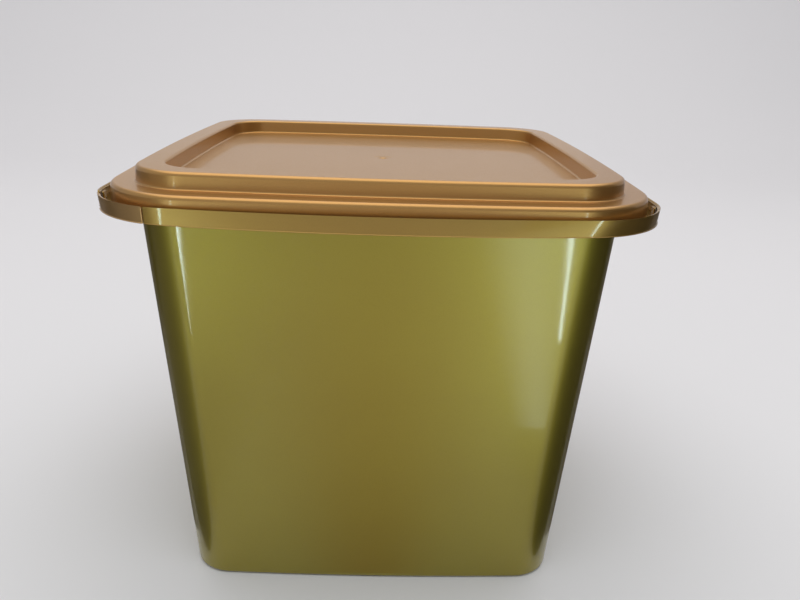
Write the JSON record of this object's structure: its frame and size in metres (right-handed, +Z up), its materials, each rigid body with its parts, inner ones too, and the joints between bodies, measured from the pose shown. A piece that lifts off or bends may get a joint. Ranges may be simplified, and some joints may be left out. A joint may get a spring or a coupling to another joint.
{
  "type": "food storage tub",
  "caption": "Square tapered food storage tub with a stacking lid, shut inside a tamper-evident collar with a tear-off corner.",
  "frame": {"origin": "middle of the footprint, at the level the tub stands on", "axes": "+Z up through the lid, +X to the right along the front, and the front faces -Y"},
  "size_m": [0.2048, 0.2048, 0.1685],
  "materials": {
    "tub": "satin metallic olive gold, moulded-in colour",
    "lid": "satin metallic copper gold, moulded-in colour"
  },
  "bodies": {
    "root": {"tub": "tub", "lid": "lid"}
  },
  "joints": []
}
